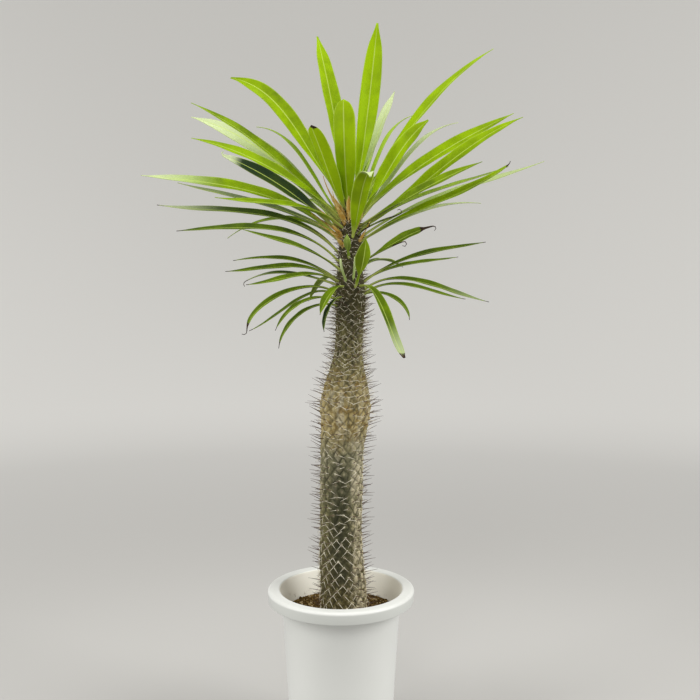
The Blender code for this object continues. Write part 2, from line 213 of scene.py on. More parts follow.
cameraSetup = {
    "place": (0.0148, -1.554, 0.798),
    "down": 5.4,
    "lens": 50.0,
    "sensor": 36.0,
}
studio = {
    "sky": (1.0, 0.99, 0.97),
    "skyStrength": 0.52,
    "floorRings": (0.6, 1.4),
    "floorRadius": 2.4,
    "bend": 1.5,
    "wallTop": 5.0,
    "sides": 96,
    "drop": 0.5 * mm,  # the floor lies this far under the pot's foot
    "floorColour": (0.52, 0.51, 0.485),
    "wallColour": (0.97, 0.96, 0.925),
    "roughness": 0.9,
    "outShare": 0.35,  # how much the way out counts beside the height
    "paling": (0.3, 1.2),
    # name, place, target, size, spread in degrees and power
    "lamps": [
        ("leftLamp", (-2.5, -1.0, 1.9), (0.0, 0.0, 0.65), 1.6, 85, 12.5),
        ("rightLamp", (2.5, -0.7, 1.9), (0.0, 0.0, 0.65), 1.6, 85, 15.5),
        ("frontLamp", (-0.5, -2.2, 2.6), (0.0, 0.0, 1.0), 1.0, 120, 7.0),
        ("topLamp", (0.0, -0.2, 2.9), (0.0, 0.0, 0.9), 1.0, 160, 9.5),
    ],
}


def makeStudio():
    data = bpy.data.cameras.new("camera")
    data.lens = cameraSetup["lens"]
    data.sensor_width = cameraSetup["sensor"]
    camera = bpy.data.objects.new("camera", data)
    camera.location = cameraSetup["place"]
    camera.rotation_euler = (math.radians(90 - cameraSetup["down"]), 0, 0)
    bpy.context.scene.collection.objects.link(camera)
    bpy.context.scene.camera = camera
    bpy.context.scene.view_settings.view_transform = "Standard"
    for name, place, target, size, spread, power in studio["lamps"]:
        lampData = bpy.data.lights.new(name, "AREA")
        lampData.size = size
        lampData.spread = math.radians(spread)
        lampData.energy = power
        lamp = bpy.data.objects.new(name, lampData)
        lamp.location = place
        aim = Vector(target) - Vector(place)
        lamp.rotation_euler = aim.to_track_quat("-Z", "Y").to_euler()
        bpy.context.scene.collection.objects.link(lamp)
    world = bpy.data.worlds.new("studio")
    world.use_nodes = True
    background = world.node_tree.nodes["Background"]
    background.inputs["Color"].default_value = (*studio["sky"], 1.0)
    background.inputs["Strength"].default_value = studio["skyStrength"]
    bpy.context.scene.world = world

    bend = studio["bend"]
    profile = [(0.0, 0.0)] + [(ring, 0.0) for ring in studio["floorRings"]]
    profile += arcPoints((studio["floorRadius"], bend), bend, -90, 0, 24)
    profile.append((studio["floorRadius"] + bend, studio["wallTop"]))
    bm = spinProfile(profile, studio["sides"])
    bmesh.ops.reverse_faces(bm, faces=bm.faces)
    mesh = bpy.data.meshes.new("floorAndWall")
    bm.to_mesh(mesh)
    bm.free()
    mesh.shade_smooth()
    material, tree, shader = newMaterial("paleFloor")
    split = splitPlace(tree, objectPlace(tree))
    away = multiplied(tree, fromAxis(tree, split), studio["outShare"])
    rising = ranged(tree, added(tree, split["Z"], away), *studio["paling"])
    tone = mixed(tree, rising, studio["floorColour"], studio["wallColour"])
    tree.links.new(tone, shader.inputs["Base Color"])
    shader.inputs["Roughness"].default_value = studio["roughness"]
    mesh.materials.append(material)
    floor = bpy.data.objects.new("floorAndWall", mesh)
    floor.location.z = -studio["drop"]
    floor.visible_diffuse = False
    floor.visible_glossy = False
    floor.visible_shadow = False
    bpy.context.scene.collection.objects.link(floor)


makeStudio()
print("studio made")


# Pot: moulded plastic, open at the top, with a rolled rim

pot = {
    "height": 260 * mm,
    "rimRadius": 120 * mm,
    "opening": 100 * mm,
    "rimBand": 20 * mm,
    "rimRound": 5 * mm,
    "bandEdge": 1 * mm,
    "shoulder": 4 * mm,
    "bodyTop": 98 * mm,
    "bodyBase": 83 * mm,
    "wall": 3 * mm,
    "floor": 4 * mm,
    "floorRing": 30 * mm,
    "innerRound": 6 * mm,
    "footRound": 4 * mm,
    "lip": 3 * mm,
    "drainHoles": 6,
    "drainRadius": 7 * mm,
    "drainCircle": 52 * mm,
    "drainSides": 24,
    "sides": 128,
    "white": (0.74, 0.745, 0.705),
    # painted shade for the rim's upright face
    "bandPaintedShade": (0.60, 0.61, 0.57),
    # painted light for the inner wall
    "paintedInnerLight": (0.98, 0.95, 0.84),
    "cloud": (0.64, 0.66, 0.60),
    "scuff": (0.52, 0.52, 0.46),
    "dirt": (0.30, 0.23, 0.15),
    "innerDepth": (-2.2 * mm, -1.2 * mm),
    "innerHeight": (190 * mm, 200 * mm),
    "flareHeight": (234 * mm, 257 * mm),
    "flare": 4.5 * mm,
    "dirtHeight": (218 * mm, 246 * mm),
    "bandShadeReach": (116.5 * mm, 118.5 * mm),
    "bandShadeHeight": (254.5 * mm, 257.5 * mm),
}


def bodyRadius(height):
    return pot["bodyBase"] + (pot["bodyTop"] - pot["bodyBase"]) * height / pot["height"]


def potProfile():
    top = pot["height"]
    wall = pot["wall"]
    floor = pot["floor"]
    edge = pot["bandEdge"]
    lip = pot["lip"]
    rimRound = pot["rimRound"]
    footRound = pot["footRound"]
    innerRound = pot["innerRound"]
    shoulder = top - pot["rimBand"] - pot["shoulder"]
    innerFoot = bodyRadius(floor) - wall
    bandBottom = top - pot["rimBand"]
    underRim = top - rimRound - 2 * edge
    points = [(0.0, floor), (pot["floorRing"], floor)]
    points += arcPoints((innerFoot - innerRound, floor + innerRound), innerRound, -90, 0, 6)
    points.append((bodyRadius(shoulder * 0.5) - wall, shoulder * 0.5))
    points.append((bodyRadius(shoulder) - wall, shoulder))
    points += arcPoints((pot["opening"] + lip, top - lip), lip, 180, 90, 8)
    points += arcPoints((pot["rimRadius"] - rimRound, top - rimRound), rimRound, 90, 0, 10)
    points += arcPoints((pot["rimRadius"] - 2 * edge, bandBottom + edge), edge, 0, -90, 4)
    points.append((pot["rimRadius"] - wall - edge, bandBottom))
    points.append((pot["rimRadius"] - wall - edge, underRim))
    points.append((pot["opening"] + 2 * lip, underRim))
    points.append((bodyRadius(shoulder), shoulder - pot["shoulder"]))
    points.append((bodyRadius(shoulder * 0.5), shoulder * 0.5))
    points += arcPoints((pot["bodyBase"] - footRound, footRound), footRound, 0, -90, 6)
    points += [(pot["floorRing"], 0.0), (0.0, 0.0)]
    return points


def potMaterial():
    material, tree, shader = newMaterial("whitePlastic")
    place = objectPlace(tree)
    split = splitPlace(tree, place)
    reach = fromAxis(tree, split)
    # the inner wall lies inside the line of the body, which widens upwards
    widening = multiplied(tree, split["Z"], (pot["bodyTop"] - pot["bodyBase"]) / pot["height"])
    flare = ranged(tree, split["Z"], *pot["flareHeight"], 0.0, pot["flare"])
    line = added(tree, added(tree, widening, flare), pot["bodyBase"])
    depth = maths(tree, "SUBTRACT", reach, line)
    inside = ranged(tree, depth, *pot["innerDepth"], 1.0, 0.0)
    inner = multiplied(tree, inside, ranged(tree, split["Z"], *pot["innerHeight"]))
    # painted light: the inner wall is painted a brighter cream than the outside, standing in for light that
    # comes through the thin plastic
    tone = mixed(tree, inner, pot["white"], pot["paintedInnerLight"])
    # painted shade: the upright face of the rim is painted darker than its top, standing in for the dimmer
    # light it gets
    upright = ranged(tree, reach, *pot["bandShadeReach"])
    lowered = ranged(tree, split["Z"], *pot["bandShadeHeight"], 1.0, 0.0)
    tone = mixed(tree, multiplied(tree, upright, lowered), tone, pot["bandPaintedShade"])
    cloudy = ranged(tree, noisy(tree, place, 9.0, 3.0), 0.35, 0.7, 0.0, 0.14)
    tone = mixed(tree, cloudy, tone, pot["cloud"])
    scratches = noisy(tree, drawnOut(tree, place, 0.22), 120.0, 8.0, 0.75)
    tone = mixed(tree, ranged(tree, scratches, 0.66, 0.74, 0.0, 0.22), tone, pot["scuff"])
    # dirt clings to the inner wall just above the soil
    stain = ranged(tree, noisy(tree, place, 75.0, 8.0, 0.75), 0.53, 0.68)
    nearSoil = ranged(tree, split["Z"], *pot["dirtHeight"], 1.0, 0.0)
    tone = mixed(tree, multiplied(tree, stain, nearSoil, inner, 0.75), tone, pot["dirt"])
    tree.links.new(tone, shader.inputs["Base Color"])
    rough = ranged(tree, noisy(tree, place, 40.0, 5.0), 0.3, 0.7, 0.33, 0.48)
    tree.links.new(rough, shader.inputs["Roughness"])
    grain = noisy(tree, place, 900.0, 2.0)
    tree.links.new(bumped(tree, grain, 0.12, 0.0003), shader.inputs["Normal"])
    return material


def makePot():
    bm = spinProfile(potProfile(), pot["sides"])
    piece = addPiece(bm, "pot_moulded", potMaterial(), "pot", 38)
    drillMesh = bmesh.new()
    for hole in range(pot["drainHoles"]):
        angle = 2 * math.pi * hole / pot["drainHoles"]
        spot = Vector((pot["drainCircle"] * math.cos(angle), pot["drainCircle"] * math.sin(angle), 0))
        bmesh.ops.create_cone(
            drillMesh, cap_ends=True, segments=pot["drainSides"], radius1=pot["drainRadius"],
            radius2=pot["drainRadius"], depth=4 * pot["floor"], matrix=Matrix.Translation(spot),
        )
    mesh = bpy.data.meshes.new("drills")
    drillMesh.to_mesh(mesh)
    drillMesh.free()
    drills = bpy.data.objects.new("drills", mesh)
    bpy.context.scene.collection.objects.link(drills)
    cut = piece.modifiers.new("drain holes", "BOOLEAN")
    cut.operation = "DIFFERENCE"
    cut.solver = "EXACT"
    cut.object = drills
    graph = bpy.context.evaluated_depsgraph_get()
    finished = bpy.data.meshes.new_from_object(piece.evaluated_get(graph))
    piece.modifiers.clear()
    piece.data = finished
    bpy.data.objects.remove(drills, do_unlink=True)


makePot()
print("pot made")


# Stem: its stations are height, radius and lean, as in the part

stem = {
    "stations": [
        (150, 35, 5.7), (205, 37, 5.7), (241, 37, 5.0), (305, 35, 1.2), (356, 33, 0.0),
        (439, 34, 1.0), (488, 34, 1.9), (537, 38, 6.7), (562, 40, 7.1), (603, 32, 8.8),
        (627, 25.5, 10.5), (651, 21.5, 12.4), (699, 22, 14.5), (731, 24, 15.3), (779, 20, 14.8),
        (850, 15, 15.6), (890, 10, 16.2), (897, 4, 16.4),
    ],
    "soilTop": 220 * mm,
    "reliefFrom": 216 * mm,
    "reliefRise": 20 * mm,
    "crownBase": 640 * mm,
    "crownRise": 0.12,
    "relief": 3.1 * mm,
    "uneven": 0.26,
    "cellsRound": 13,
    "lowPitch": 19 * mm,  # height of a diamond below the swelling
    "highPitch": 12.5 * mm,
    "pitchChange": (0.55, 0.65),
    "twist": 3.1,  # radians a metre
    "wart": 0.8 * mm,
    "wartScale": 260,
    "columns": 156,
    "rowStep": 1.9 * mm,
    # tones from the soil up to the tip
    "toneHeight": (0.235, 0.925),
    "tones": [
        (0.0, (0.095, 0.078, 0.027)), (0.12, (0.115, 0.10, 0.038)), (0.26, (0.16, 0.15, 0.068)),
        (0.40, (0.21, 0.20, 0.115)), (0.475, (0.44, 0.35, 0.15)), (0.54, (0.32, 0.26, 0.115)),
        (0.60, (0.215, 0.19, 0.08)), (0.68, (0.165, 0.15, 0.06)), (0.765, (0.05, 0.044, 0.016)),
        (1.0, (0.05, 0.042, 0.015)),
    ],
    # pale cork, partly painted light from the right
    "corkAndPaintedLight": (0.60, 0.53, 0.36),
    "corkAndLightSide": (0.010, 0.028),
    "corkAndLightHeight": (0.44, 0.52),
    "speck": (0.42, 0.36, 0.22),
    "speckHeight": (0.66, 0.76),
    "streak": (0.045, 0.043, 0.026),
    "washed": (0.50, 0.45, 0.31),
    "washedBand": ((0.40, 0.47), (0.60, 0.66)),
    "groove": (0.035, 0.032, 0.018),
    # painted shade down the middle of the front
    "dark": (0.034, 0.036, 0.020),
    "paintedShadeHalf": (0.014, 0.028),
    "paintedShadeDepth": (-0.012, 0.0),
    "paintedShadeBand": ((0.27, 0.33), (0.46, 0.53)),
    "areole": (0.42, 0.37, 0.23),
    "ochre": (0.20, 0.13, 0.035),
    "ochreBand": ((0.50, 0.55), (0.62, 0.68)),
}


def stemAt(height):
    stations = stem["stations"]
    last = len(stations) - 1
    height = min(max(height / mm, stations[0][0]), stations[last][0])
    index = next(i for i in range(last) if height <= stations[i + 1][0])
    low = stations[index]
    high = stations[index + 1]
    before = stations[max(index - 1, 0)]
    after = stations[min(index + 2, last)]
    span = high[0] - low[0]
    t = (height - low[0]) / span
    found = []
    for value in (1, 2):
        slopeLow = (high[value] - before[value]) / (high[0] - before[0])
        slopeHigh = (after[value] - low[value]) / (after[0] - low[0])
        found.append(mm * (
            (2 * t**3 - 3 * t**2 + 1) * low[value]
            + (t**3 - 2 * t**2 + t) * slopeLow * span
            + (3 * t**2 - 2 * t**3) * high[value]
            + (t**3 - t**2) * slopeHigh * span
        ))
    return found


def tubercleRows():
    # heights of the rows of tubercles, half a diamond apart
    rows = [stem["stations"][0][0] * mm]
    while rows[-1] < stem["stations"][-1][0] * mm:
        low = stem["lowPitch"]
        pitch = low + (stem["highPitch"] - low) * smoothStep(*stem["pitchChange"], rows[-1])
        rows.append(rows[-1] + pitch / 2)
    return rows


rowHeights = tubercleRows()


def rowAt(height):
    index = 0
    while index < len(rowHeights) - 2 and rowHeights[index + 1] < height:
        index += 1
    return index + (height - rowHeights[index]) / (rowHeights[index + 1] - rowHeights[index])


def reliefAt(height):
    rising = min(max((height - stem["reliefFrom"]) / stem["reliefRise"], 0.0), 1.0)
    fading = 1.0 - 0.5 * smoothStep(stem["crownBase"], stem["crownBase"] + stem["crownRise"], height)
    return stem["relief"] * rising * fading


def warpAt(angle, height):
    # how far the net of diamonds strays from an even one
    spot = Vector((math.cos(angle), math.sin(angle), height * 26)) * 2.1
    away = stem["uneven"]
    return away * noise.noise(spot), away * noise.noise(spot + Vector((7, 3, 1)))


def skinAt(angle, height, row):
    # how far out the skin is, with its place in the diamond: 0 in the middle, 1 in the groove
    sideStray, upStray = warpAt(angle, height)
    across = (angle + stem["twist"] * height) * stem["cellsRound"] / (2 * math.pi) + sideStray
    along = row / 2 + upStray
    nearest = 1.0
    rise = 0.0
    for shift in (0.0, 0.5):
        sideways = across - shift - round(across - shift)
        up = along - shift - round(along - shift)
        distance = 2 * (abs(sideways) + abs(up))
        if distance < nearest:
            nearest = distance
            rise = up
    lifted = 1 - nearest**2.1 + 0.6 * rise * (1 - nearest)
    return lifted - 0.5, nearest, rise


def stemMaterial():
    material, tree, shader = newMaterial("stemSkin")
    place = objectPlace(tree)
    split = splitPlace(tree, place)
    cloud = noisy(tree, place, 22.0, 5.0)
    shifted = added(tree, split["Z"], multiplied(tree, cloud, 0.05))
    low, high = stem["toneHeight"]
    height = makeNode(tree, "ShaderNodeMapRange", {0: shifted, 1: low, 2: high}).outputs[0]
    tone = ramped(tree, height, stem["tones"])
    # the right side is pale below the swelling: partly corky bark, partly painted light falling from the
    # right
    side = ranged(tree, split["X"], *stem["corkAndLightSide"])
    lower = ranged(tree, split["Z"], *stem["corkAndLightHeight"], 1.0, 0.0)
    pale = ranged(tree, noisy(tree, place, 150.0, 6.0, 0.7), 0.42, 0.56)
    tone = mixed(tree, multiplied(tree, side, lower, pale, 0.95), tone, stem["corkAndPaintedLight"])
    below = ranged(tree, split["Z"], *stem["speckHeight"], 1.0, 0.35)
    speck = ranged(tree, noisy(tree, place, 300.0, 4.0, 0.7), 0.52, 0.66, 0.0, 0.62)
    tone = mixed(tree, multiplied(tree, speck, below), tone, stem["speck"])
    # dark streaks all the way up, and pale ones round the swelling
    streakPlace = drawnOut(tree, place, 0.16)
    streak = ranged(tree, noisy(tree, streakPlace, 150.0, 5.0), 0.47, 0.62, 0.0, 0.62)
    tone = mixed(tree, streak, tone, stem["streak"])
    washed = ranged(tree, noisy(tree, streakPlace, 95.0, 5.0), 0.5, 0.62, 0.0, 0.62)
    washedBand = between(tree, shifted, *stem["washedBand"])
    tone = mixed(tree, multiplied(tree, washed, washedBand), tone, stem["washed"])
    # dark lines in the grooves, broken here and there
    grooved = ranged(tree, attribute(tree, "groove"), 0.62, 1.0, 0.0, 0.72)
    broken = ranged(tree, noisy(tree, place, 75.0, 3.0), 0.36, 0.6, 0.25, 1.0)
    tone = mixed(tree, multiplied(tree, grooved, broken), tone, stem["groove"])
    # painted shade: the middle of the front is painted dark below the swelling, leaving the sides lighter
    # as if lit from both sides
    offMiddle = maths(tree, "ABSOLUTE", added(tree, split["X"], 0.001))
    offMiddle = added(tree, offMiddle, multiplied(tree, cloud, 0.012))
    middle = ranged(tree, offMiddle, *stem["paintedShadeHalf"], 1.0, 0.0)
    front = ranged(tree, split["Y"], *stem["paintedShadeDepth"], 1.0, 0.0)
    band = between(tree, shifted, *stem["paintedShadeBand"])
    tone = mixed(tree, multiplied(tree, middle, front, band, 0.7), tone, stem["dark"])
    areole = attribute(tree, "areole")
    tone = mixed(tree, multiplied(tree, areole, 0.7, below), tone, stem["areole"])
    ochre = ranged(tree, noisy(tree, place, 85.0, 6.0, 0.7), 0.5, 0.62, 0.0, 0.75)
    around = between(tree, shifted, *stem["ochreBand"])
    tone = mixed(tree, multiplied(tree, ochre, around), tone, stem["ochre"])
    tree.links.new(tone, shader.inputs["Base Color"])
    shader.inputs["Roughness"].default_value = 0.85
    shader.inputs["Specular IOR Level"].default_value = 0.12
    grain = noisy(tree, place, 700.0, 6.0, 0.7)
    tree.links.new(bumped(tree, grain, 0.7, 0.0008), shader.inputs["Normal"])
    return material


def makeStem():
    low = stem["stations"][0][0] * mm
    high = stem["stations"][-1][0] * mm
    rows = round((high - low) / stem["rowStep"])
    columns = stem["columns"]
    bm = bmesh.new()
    bmesh.ops.create_grid(bm, x_segments=columns, y_segments=rows, size=0.5)
    groove = bm.verts.layers.float.new("groove")
    areole = bm.verts.layers.float.new("areole")
    levels = {}
    for vert in bm.verts:
        level = round((vert.co.y + 0.5) * rows)
        if level not in levels:
            height = low + (high - low) * level / rows
            levels[level] = (height, rowAt(height), *stemAt(height), reliefAt(height))
        height, row, radius, lean, relief = levels[level]
        angle = 2 * math.pi * round((vert.co.x + 0.5) * columns) / columns
        lifted, nearest, rise = skinAt(angle, height, row)
        compass = Vector((math.cos(angle), math.sin(angle), 0.0))
        wart = noise.noise(Vector((compass.x * radius, compass.y * radius, height)) * stem["wartScale"])
        reach = radius + relief * lifted + wart * stem["wart"] * relief / stem["relief"]
        vert.co = Vector((lean, 0.0, height)) + compass * reach
        vert[groove] = nearest if relief > 0 else 0.0
        vert[areole] = smoothStep(0.34, 0.12, abs(rise - 0.12) + nearest * 0.6) if relief > 0 else 0.0
    bmesh.ops.remove_doubles(bm, verts=bm.verts, dist=0.00002)
    rims = [edge for edge in bm.edges if edge.is_boundary]
    bmesh.ops.holes_fill(bm, edges=rims, sides=0)
    bmesh.ops.recalc_face_normals(bm, faces=bm.faces)
    addPiece(bm, "stem_skin", stemMaterial(), "stem")


makeStem()
print("stem made")


# Spines: up to three on a tubercle, two of them sideways

spine = {
    "low": 17 * mm,
    "swelling": 21 * mm,
    "neck": 16 * mm,
    "crown": 9 * mm,
    "swellingAt": 0.555,
    "swellingHalf": 0.045,
    "neckFrom": 0.66,
    "shortening": (0.70, 0.76),
    "radius": 0.74 * mm,
    "sideShare": 0.72,  # thickness of the sideways ones, beside the middle one
    "tip": 0.17 * mm,
    "root": 1.6 * mm,
    "top": 872 * mm,
    "middleMissing": 0.18,
    "sideMissing": 0.1,
    "rightMissing": 0.72,
    "seed": 21,
    "sides": 5,
    "horn": [
        (0.0, (0.80, 0.76, 0.62)), (0.5, (0.76, 0.70, 0.54)), (0.62, (0.15, 0.08, 0.048)),
        (1.0, (0.035, 0.02, 0.015)),
    ],
    "aged": (0.15, 0.09, 0.055),
}


def spineMaterial():
    material, tree, shader = newMaterial("spineHorn")
    place = objectPlace(tree)
    tone = ramped(tree, attribute(tree, "along"), spine["horn"])
    age = ranged(tree, noisy(tree, place, 90.0, 3.0), 0.46, 0.66, 0.0, 0.4)
    tone = mixed(tree, age, tone, spine["aged"])
    tree.links.new(tone, shader.inputs["Base Color"])
    shader.inputs["Roughness"].default_value = 0.55
    grain = noisy(tree, place, 1500.0, 3.0)
    tree.links.new(bumped(tree, grain, 0.3, 0.0002), shader.inputs["Normal"])
    return material


def spineLength(height):
    if height > spine["neckFrom"]:
        share = smoothStep(*spine["shortening"], height)
        return spine["neck"] + (spine["crown"] - spine["neck"]) * share
    swelling = math.exp(-(((height - spine["swellingAt"]) / spine["swellingHalf"]) ** 2))
    return spine["low"] + (spine["swelling"] - spine["low"]) * swelling


def sidesMissing(height, outward):
    # the pale net is whole low on the left, and broken higher up and on the right
    share = spine["sideMissing"] + 0.42 * smoothStep(0.33, 0.39, height) * smoothStep(0.58, 0.50, height)
    share += 0.05 * smoothStep(0.60, 0.64, height)
    if outward.y < 0:
        toRight = smoothStep(0.2, 0.55, outward.x)
        share = max(share, spine["rightMissing"] * toRight * smoothStep(0.46, 0.40, height))
    return share


def makeSpines():
    chance = random.Random(spine["seed"])
    bm = bmesh.new()
    bm.verts.layers.float.new("along")
    for index, height in enumerate(rowHeights):
        if not stem["soilTop"] + 1 * mm < height < spine["top"]:
            continue
        radius, lean = stemAt(height)
        usual = spineLength(height)
        sag = 0.80 * smoothStep(0.40, 0.34, height) - 0.22 * smoothStep(0.50, 0.60, height)
        flat = smoothStep(0.66, 0.50, height)
        spread = 0.2 + 0.5 * smoothStep(0.58, 0.66, height) + 0.16 * smoothStep(0.34, 0.40, height)
        lifted = reliefAt(height) * 0.45
        row = bmesh.new()
        rowShare = row.verts.layers.float.new("along")
        for cell in range(stem["cellsRound"]):
            across = (cell + 0.5 * (index % 2)) * 2 * math.pi / stem["cellsRound"]
            angle = across - stem["twist"] * height
            sideStray, upStray = warpAt(angle, height)
            angle -= sideStray * 2 * math.pi / stem["cellsRound"]
            stray = -upStray * stem["lowPitch"]
            outward = Vector((math.cos(angle), math.sin(angle), 0.0))
            beside = Vector((-outward.y, outward.x, 0.0))
            missing = sidesMissing(height, outward)
            root = Vector((lean, 0.0, height + spine["root"] + stray)) + outward * (radius + lifted)
            for way in (-1, 1, 0):
                if chance.random() < (missing if way else spine["middleMissing"]):
                    continue
                slant = chance.uniform(-spread, spread)
                if way:
                    aim = outward * (chance.uniform(0.45, 0.7) - 0.27 * flat) + beside * way * 0.8
                    aim -= upward * (sag + slant)
                else:
                    rise = 0.3 + min(max(slant, -0.2), 0.25)
                    aim = outward + upward * rise + beside * chance.uniform(-0.3, 0.3)
                aim.normalize()
                thin = spine["sideShare"] if way else 1.0
                length = usual * chance.uniform(0.72, 1.12) * (0.85 if way else 1.16)
                middle = root + aim * (length - spine["root"]) / 2
                turn = upward.rotation_difference(aim).to_matrix().to_4x4()
                made = bmesh.ops.create_cone(
                    row, cap_ends=True, segments=spine["sides"], radius1=spine["radius"] * thin,
                    radius2=spine["tip"] * thin, depth=length + spine["root"],
                    matrix=Matrix.Translation(middle) @ turn,
                )
                # the sideways ones are pale, the middle ones brown
                rootShare, tipShare = (0.0, 0.62) if way else (0.6, 1.0)
                for vert in made["verts"]:
                    tipped = (vert.co - middle).dot(aim) > 0
                    vert[rowShare] = tipShare if tipped else rootShare
        gather(bm, row)
    addPiece(bm, "spines", spineMaterial())


makeSpines()
print("spines made")


# Soil: fills the pot up to a crumbly top with loose crumbs on it

soil = {
    "top": 220 * mm,
    "foot": 4.3 * mm,
    "footInset": 8 * mm,
    "wallGap": 3.6 * mm,
    "hole": 37.9 * mm,
    "holeFloor": 149.7 * mm,
    "rings": 22,
    "sides": 96,
    "rough": 2.2 * mm,
    "roughScale": 95,
    "fine": 0.6 * mm,
    "fineScale": 320,
    "crumbs": 1150,
    "crumbSmall": 1.1 * mm,
    "crumbLarge": 3.0 * mm,
    "batch": 60,
    "seed": 5,
    "tones": [
        (0.0, (0.025, 0.014, 0.005)), (0.35, (0.085, 0.048, 0.013)), (0.62, (0.21, 0.13, 0.035)),
        (0.85, (0.42, 0.29, 0.11)), (1.0, (0.60, 0.47, 0.26)),
    ],
    "flatTone": 0.34,
}


def soilMaterial():
    material, tree, shader = newMaterial("pottingMix")
    place = objectPlace(tree)
    patchy = ranged(tree, noisy(tree, place, 420.0, 5.0), 0.3, 0.75, -0.14, 0.22)
    tone = added(tree, attribute(tree, "tone"), patchy)
    tree.links.new(ramped(tree, tone, soil["tones"]), shader.inputs["Base Color"])
    shader.inputs["Roughness"].default_value = 0.95
    shader.inputs["Specular IOR Level"].default_value = 0.1
    grain = noisy(tree, place, 800.0, 6.0, 0.7)
    tree.links.new(bumped(tree, grain, 0.8, 0.0012), shader.inputs["Normal"])
    return material


def makeSoil():
    foot = soil["foot"]
    edge = bodyRadius(soil["top"]) - soil["wallGap"]
    wallFoot = bodyRadius(foot) - soil["wallGap"]
    profile = [(0.0, foot), (wallFoot - soil["footInset"], foot), (wallFoot, foot + soil["footInset"])]
    for ring in range(soil["rings"] + 1):
        share = ring / soil["rings"]
        profile.append((edge + (soil["hole"] - edge) * share, soil["top"]))
    profile += [(soil["hole"], soil["holeFloor"]), (0.0, soil["holeFloor"])]
    bm = spinProfile(profile, soil["sides"])
    tone = bm.verts.layers.float.new("tone")
    lean = stemAt(soil["top"])[1]
    for vert in bm.verts:
        reach = math.hypot(vert.co.x, vert.co.y)
        vert[tone] = soil["flatTone"]
        if soil["holeFloor"] - 1 * mm < vert.co.z and reach < edge - 1 * mm:
            pulled = 1.0 - smoothStep(soil["hole"], edge, reach)
            if reach > 1 * mm:
                vert.co.x += lean * (1.0 if reach < soil["hole"] + 1 * mm else pulled)
            if vert.co.z > soil["top"] - 1 * mm:
                lumps = soil["rough"] * noise.noise(vert.co * soil["roughScale"])
                vert.co.z += lumps + soil["fine"] * noise.noise(vert.co * soil["fineScale"])
    chance = random.Random(soil["seed"])
    for crumb in range(soil["crumbs"]):
        if crumb % soil["batch"] == 0:
            batch = bmesh.new()
            batchTone = batch.verts.layers.float.new("tone")
        angle = chance.uniform(0, 2 * math.pi)
        share = math.sqrt(chance.random())
        size = soil["crumbSmall"] + (soil["crumbLarge"] - soil["crumbSmall"]) * chance.random() ** 2.4
        reach = soil["hole"] + size + (edge - soil["hole"] - 2 * size) * share
        shift = lean * (1.0 - smoothStep(soil["hole"], edge, reach))
        spot = Vector((reach * math.cos(angle) + shift, reach * math.sin(angle), soil["top"]))
        lumps = soil["rough"] * noise.noise(spot * soil["roughScale"])
        spot.z += lumps + size * chance.uniform(0.1, 0.55)
        made = bmesh.ops.create_icosphere(
            batch, subdivisions=1, radius=size, matrix=Matrix.Translation(spot),
        )
        stretch = Vector((chance.uniform(0.7, 1.2), chance.uniform(0.6, 1.1), chance.uniform(0.5, 0.9)))
        turn = Matrix.Rotation(chance.uniform(0, 6.28), 3, Vector((chance.random(), chance.random(), 1.0)))
        shade = min(max(chance.gauss(0.58, 0.24), 0.08), 1.0)
        for vert in made["verts"]:
            offset = vert.co - spot
            vert.co = spot + turn @ Vector(a * b for a, b in zip(offset, stretch))
            vert[batchTone] = shade
        if crumb % soil["batch"] == soil["batch"] - 1 or crumb == soil["crumbs"] - 1:
            gather(bm, batch)
    addPiece(bm, "soil_crumbs", soilMaterial(), "soil", 30)


makeSoil()
print("soil made")


# Leaves: outlines from the base to the tip, as shares of the width

strap = (0.0, 0.1, 0.42, 0.78, 0.97, 1.0, 0.8, 0.44, 0.0)
broad = (0.0, 0.5, 0.76, 0.93, 1.0, 0.98, 0.84, 0.5, 0.0)
oblong = (0.0, 0.34, 0.64, 0.88, 1.0, 1.0, 0.92, 0.68, 0.1)
spoon = (0.0, 0.32, 0.6, 0.86, 1.0, 1.0, 1.0, 0.98, 0.95)  # its end is rounded off below
rod = (1.0, 1.0, 1.0, 1.0, 1.0, 1.0, 0.95, 0.9, 0.7)
band = (0.0, 0.3, 0.72, 0.96, 1.0, 0.97, 0.9, 0.78, 0.5)
wedge = (0.7, 0.95, 1.0, 0.9, 0.72, 0.52, 0.34, 0.16, 0.0)
oval = (0.0, 0.0, 0.02, 0.3, 0.8, 1.0, 0.95, 0.6, 0.05)
